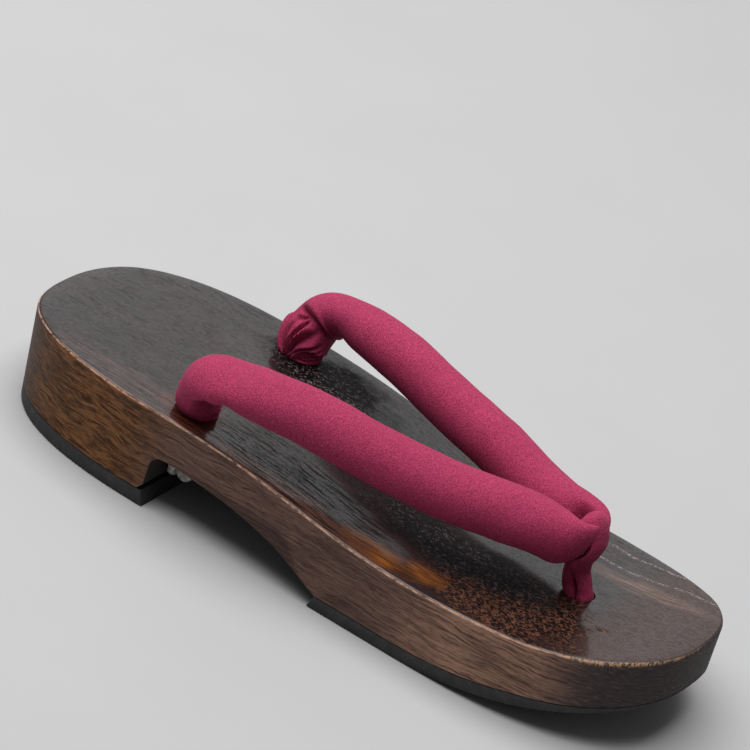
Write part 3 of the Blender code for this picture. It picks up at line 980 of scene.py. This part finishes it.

# %% [markdown]
# Burned wood. The brush has left the hard grain standing, so the grain is both a colour and a
# height. The walls are brown with fine wavy grain, redder at the heel and charred at the toe.
# The deck is almost black, with long pores. It is crackled where the burn was hard, has an amber
# flame where it was light, and a ticked figure over the ball. The lacquer is thin over pores, so
# they stay dark where the rest mirrors the sky. Over the figure, the crackle and a scorched band
# beside the near strap the lacquer is almost left off and the ground darkened: this is painted
# dark reflection of the straps' shaded undersides. Bright grey specks in the crackle are painted
# glints, and the pale broken line on the rim is partly a worn edge, partly a painted highlight.
# Masks are made from place and from which way a face looks.

# %% Finish of the burned wood
# Patches of the wood, seen from above: centre, radii, and how soft the edge is
PATCHES = {
    "amber": ((-36.5, -27.0), (4.5, 12.0), 0.6),
    "amber_end": ((-33.0, -42.0), (4.0, 7.0), 0.6),
    # figure, crackle and scorch: the wood's own figure and crackle, and also painted dark
    # reflection of the straps, as thin lacquer and a darker ground
    "figure": ((-24.0, -68.0), (19.0, 27.0), 0.35),
    "crackle": ((27.0, 35.0), (12.0, 22.0), 0.4),
    "scorch": ((-13.5, -42.0), (10.0, 30.0), 0.4),
    "streaky": ((-30.0, 5.0), (13.0, 40.0), 0.4),
    "red_root": ((-33.0, 48.0), (9.0, 11.0), 0.3),
    "red_edge": ((-41.0, 5.0), (6.0, 36.0), 0.4),
    "pale_heel": ((-39.0, 78.0), (10.0, 36.0), 0.4),
    "brown_toe": ((18.5, -92.0), (3.6, 20.0), 0.6),
    "gold": ((-22.0, -106.0), (24.0, 16.0), 0.4),
    "ball_side": ((-43.0, -75.0), (60.0, 27.0), 0.6),
}
TICK_SIZE = (0.48, 1.9, 0.9)
TICK_TURNS = (36, -32)
# Two pale dotted lines of grain on the toe's right side: x, and y where each starts
DOTTED_LINES = [(26.0, -20.0), (35.0, -60.0)]


def wood_patches(f):
    """A mask for each patch, all with the same ragged edge."""
    ragged = (f.noise(f.grain(5, 11, 5), 3.0, 0.6) - 0.5) * 1.4
    return SimpleNamespace(**{name: f.blob(*shape, ragged) for name, shape in PATCHES.items()})


def wood_grain(f):
    """Noises that run with the grain: on the deck along it, on the walls in fine waves."""
    drift = (f.noise(f.grain(16, 30, 16), 2.0, 0.5) - 0.5) * 5.0
    one, two = (f.noise(f.grain(*TICK_SIZE, (0, 0, turn)), 2.0, 0.5) for turn in TICK_TURNS)
    sway = (f.noise(f.grain(14, 17, 7), 2.0, 0.55) - 0.5) * 5.0
    return SimpleNamespace(
        streak=f.noise(f.join((f.x + drift) * 1.5, f.y * 0.075, f.z * 0.2), 4.0, 0.66),
        pore=f.noise(f.join((f.x + drift) * 2.6, f.y * 0.16, f.z * 0.2), 2.0, 0.5),
        ticks=one.larger(two).above(0.555, 0.600),
        glint_specks=one.larger(two).above(0.60, 0.68),
        wavy=f.noise(f.join(f.x * 0.12, f.y * 0.055, f.z * 1.5 + sway * 1.2), 4.0, 0.70),
        fibre=f.noise(f.join(f.x * 0.5, f.y * 0.34, f.z * 3.6 + sway * 3.2), 2.0, 0.6),
        curl=f.noise(f.join(f.x * 0.15, f.y * 0.13, f.z * 1.2 + sway * 1.3), 4.0, 0.66, 0.4))


def deck_colour(f, patch, grain, cloud):
    """The deck: near black, and over that each patch in its own grain, some with painted dark
    reflection and painted glints.
    """
    char = f.mix(cloud.above(0.35, 0.7), (0.008, 0.0035, 0.0035), (0.015, 0.007, 0.007))
    flame = f.mix(grain.streak.above(0.40, 0.60), (0.21, 0.066, 0.008), (0.045, 0.014, 0.006))
    amber = patch.amber.larger(patch.amber_end)
    tick = patch.figure * grain.ticks * 0.9 * (1 - patch.scorch * 0.7)
    # Painted glints: bright grey specks in the crackle and the scorched band stand in for light
    # caught on their relief
    painted_glint = patch.crackle.larger(patch.scorch * 0.7) * grain.glint_specks * 0.9
    coats = [
        (f.y.above(-84.0, -100.0) * 0.7, (0.050, 0.026, 0.022)),
        (grain.streak.above(0.54, 0.70) * 0.4, (0.050, 0.026, 0.020)),
        (grain.pore.above(0.56, 0.70) * 0.8, (0.004, 0.003, 0.003)),
        # Painted dark reflection: a darker ground over the figure, the crackle and the scorch,
        # where the deck mirrors the straps' shaded undersides
        (patch.figure * (0.8 - grain.ticks * 0.8), (0.004, 0.002, 0.002)),
        (tick, (0.120, 0.046, 0.025)),
        (patch.crackle.larger(patch.scorch), (0.005, 0.003, 0.0035)),
        (painted_glint, (0.165, 0.130, 0.132)),
        (patch.pale_heel * grain.streak.above(0.44, 0.60) * 0.7, (0.070, 0.038, 0.032)),
        (patch.red_edge * grain.streak.above(0.42, 0.60), (0.085, 0.032, 0.018)),
        (patch.red_root * grain.streak.above(0.35, 0.60), (0.080, 0.018, 0.007)),
        (patch.brown_toe * grain.streak.above(0.35, 0.62), (0.120, 0.070, 0.050)),
        (amber * (1 - grain.pore.above(0.52, 0.68) * 0.8), flame),
    ]
    wander = (f.noise(f.grain(30, 22, 30), 1.0, 0.5) - 0.5) * 7.0
    dots = f.noise(f.grain(0.7, 0.6, 0.7), 2.0, 0.6).above(0.48, 0.58)
    for place, start in DOTTED_LINES:
        thread = abs(f.x + wander - place).above(0.75, 0.30)
        coats.append((thread * dots * f.y.above(start, start - 15) * 0.8, (0.24, 0.18, 0.16)))
    return f.layer(char, coats)


def wall_colour(f, patch, grain, cloud, facing):
    """The walls: brown, redder at the heel, lighter at the ball, charred at the toe."""
    brown = f.mix(grain.wavy.above(0.34, 0.64), (0.068, 0.039, 0.032), (0.175, 0.103, 0.082))
    heel = f.mix(grain.curl.above(0.38, 0.62), (0.056, 0.023, 0.010), (0.215, 0.096, 0.040))
    heel_tip = f.mix(grain.wavy, (0.045, 0.030, 0.026), (0.120, 0.085, 0.070))
    toe_tip = f.mix(grain.wavy, (0.030, 0.025, 0.026), (0.076, 0.063, 0.065))
    # Painted shade: dark grey for the faces under the arch
    under_arch_shade = f.mix(grain.fibre, (0.026, 0.026, 0.024), (0.085, 0.080, 0.072))
    # A dark edge follows the arch, and the underside and the heel block's front are dark grey:
    # painted shade under the arch
    arch_edge = (f.z - f.y.above(-16.0, 6.0) * 17.0).above(4.0, 0.0)
    arch_edge = arch_edge * f.y.above(50.0, 46.0) * f.y.above(-20.0, -8.0)
    block_front = facing[1].above(-0.35, -0.75) * f.y.above(30.0, 44.0)
    return f.layer(brown, [
        (patch.ball_side * grain.wavy.above(0.30, 0.66) * 0.9, (0.38, 0.215, 0.150)),
        (f.y.above(42.0, 66.0), heel),
        (cloud.above(0.50, 0.68) * 0.45, (0.045, 0.028, 0.022)),
        (f.y.above(90.0, 119.0), heel_tip),
        (f.y.above(-86.0, -108.0), toe_tip),
        (grain.fibre.above(0.54, 0.70) * 0.55, (0.022, 0.013, 0.010)),
        (grain.fibre.above(0.44, 0.34) * 0.25, (0.26, 0.17, 0.12)),
        (arch_edge * 0.6, (0.030, 0.018, 0.018)),
        (block_front.larger(facing[2].above(-0.35, -0.75)), under_arch_shade),
    ])


def lacquer_share(f, patch, grain):
    """How thick the lacquer is: thin over pores; almost none over the figure, crackle and scorch,
    which is painted dark reflection.
    """
    mottle = f.noise(f.grain(0.8, 1.1, 0.8), 3.0, 0.7)
    thin = grain.streak.above(0.50, 0.42) * patch.streaky * 0.9
    # Almost no lacquer over the figure, crackle and scorch: painted dark reflection, so these
    # patches stay dark wherever the light is
    for share in (grain.pore.above(0.56, 0.66) * (0.5 + patch.streaky * 0.45), patch.crackle,
                  patch.figure * (1 - grain.ticks * 0.15), patch.scorch,
                  f.y.above(-84.0, -100.0) * (0.30 + grain.ticks * 0.30)):
        thin = thin.larger(share)
    return (1 - thin) * (0.60 + mottle.above(0.30, 0.62) * 0.40)


def paint_wood(f):
    """Colour, gloss and relief of the burned wood."""
    facing = f.split(f.node("ShaderNodeNewGeometry", output="Normal"))
    up = facing[2]
    deck = up.above(0.82, 0.97)
    rim = up.above(0.32, 0.52) * up.above(0.86, 0.68)
    corner = up.above(0.05, 0.30) * up.above(0.95, 0.85)
    patch = wood_patches(f)
    grain = wood_grain(f)
    cloud = f.noise(f.grain(9, 26, 9), 3.0, 0.6)
    cross = f.noise(f.grain(1.5, 0.55, 1.5, (0, 0, 20)), 2.0, 0.6)
    worn_nicks_and_highlight = f.noise(f.grain(1.6, 2.6, 1.6), 4.0, 0.65).above(0.36, 0.60)
    colour = f.layer(wall_colour(f, patch, grain, cloud, facing), [
        (deck, deck_colour(f, patch, grain, cloud)),
        (patch.gold * corner * cross.above(0.44, 0.52), (0.36, 0.21, 0.11)),
        # The pale broken line on the rim: partly a worn edge, partly a painted highlight
        (rim * worn_nicks_and_highlight * 0.9 * f.y.above(-112.0, -98.0), (0.50, 0.30, 0.21)),
    ])
    fine = f.noise(f.grain(0.5, 0.7, 0.5), 2.0, 0.6)
    long_grain = grain.streak * 0.5 - grain.pore * 0.6
    long_grain = long_grain + (grain.streak * 1.2 - grain.pore) * patch.streaky
    ticked = grain.ticks * (patch.figure * 0.7 + patch.crackle.larger(patch.scorch) * 1.2)
    waves = grain.wavy * 0.4 + grain.fibre * 0.5
    relief = (long_grain + ticked) * deck + waves * (1 - deck)
    lacquer = deck * lacquer_share(f, patch, grain)
    f.paint(Base_Color=colour, Roughness=0.34 + fine * 0.15 + (1 - deck) * 0.14,
            Normal=f.bump(fine, 0.045, f.bump(relief, 0.20)), Coat_Weight=lacquer * 0.83 + 0.01)


burned_wood.feed(burned_wood.shader, {"Coat Roughness": 0.12, "Coat IOR": 1.55,
                                      "Specular IOR Level": 0.06})
paint_wood(burned_wood)
print("Wood nodes:", len(burned_wood.tree.nodes))

# %% [markdown]
# Crepe. Its twisted threads pull the cloth into grains well under a millimetre, which catch the
# light one by one. A little fuzz on top is the shader's sheen, and fine noise is the grain. The
# grains' colour is partly the cloth's own speckle, partly painted highlight on their tops and
# painted shade in their pits.

# %% Finish of the crepe, the rubber and the cord


def paint_crepe(f):
    """Crimson crepe: grains as relief, with painted highlight on their tops and painted shade in
    their pits.
    """
    grains = f.noise(f.grain(0.36, 0.36, 0.36), 2.0, 0.65, 0.4)
    coarse = f.noise(f.grain(1.1, 1.1, 1.1), 2.0, 0.6)
    cloud = f.noise(f.grain(14, 14, 14), 2.0, 0.5)
    # Painted light and shade: the same noise as the relief makes grain tops lighter and pits
    # darker, along with the cloth's own speckle
    colour = f.mix(grains.above(0.30, 0.72), (0.165, 0.010, 0.036), (0.495, 0.050, 0.134))
    colour = f.mix(cloud.above(0.4, 0.7) * 0.25, colour, (0.26, 0.022, 0.075))
    f.paint(Base_Color=colour, Roughness=0.80, Normal=f.bump(grains + coarse * 0.5, 0.20))


def paint_rubber(f):
    """Matt black rubber with faint ribs and dust."""
    dust = f.noise(f.grain(3, 3, 3), 4.0, 0.7)
    ribs = f.noise(f.grain(40, 0.8, 1.5), 2.0, 0.5)
    colour = f.mix(dust.above(0.35, 0.75), (0.016, 0.016, 0.016), (0.034, 0.034, 0.034))
    f.paint(Base_Color=colour, Normal=f.bump(ribs + dust * 0.5, 0.12))


def paint_cord(f):
    """Pale unbleached cord, mottled where it was handled."""
    stain = f.noise(f.grain(2.0, 2.0, 2.0), 3.0, 0.6)
    thread = f.noise(f.grain(0.35, 0.9, 0.35), 2.0, 0.6)
    colour = f.mix(stain.above(0.35, 0.7), (0.26, 0.24, 0.22), (0.68, 0.65, 0.60))
    f.paint(Base_Color=colour, Normal=f.bump(thread, 0.2))


crepe.feed(crepe.shader, {"Sheen Weight": 0.10, "Sheen Roughness": 0.5,
                          "Sheen Tint": (1.0, 0.35, 0.55), "Specular IOR Level": 0.15})
paint_crepe(crepe)
paint_rubber(sole_rubber)
paint_cord(pale_cord)
print("Crepe nodes:", len(crepe.tree.nodes))

# %% [markdown]
# A plain pale floor, far larger than the picture, which catches the soft shadow.

# %% Lay the floor
FLOOR_SIZE = 6.0


def make_floor():
    """A pale floor at the shoe's own floor level."""
    bm = bmesh.new()
    bmesh.ops.create_grid(bm, x_segments=1, y_segments=1, size=FLOOR_SIZE / 2)
    mesh = bpy.data.meshes.new("floor")
    bm.to_mesh(mesh)
    bm.free()
    floor = bpy.data.objects.new("floor", mesh)
    paper = Finish("floor_paper", Roughness=0.9)
    fleck = paper.noise(paper.grain(60, 60, 60), 2.0, 0.5)
    paper.paint(Base_Color=paper.mix(fleck, (0.39, 0.39, 0.39), (0.41, 0.41, 0.41)))
    mesh.materials.append(paper.material)
    bpy.context.collection.objects.link(floor)
    return floor


make_floor()
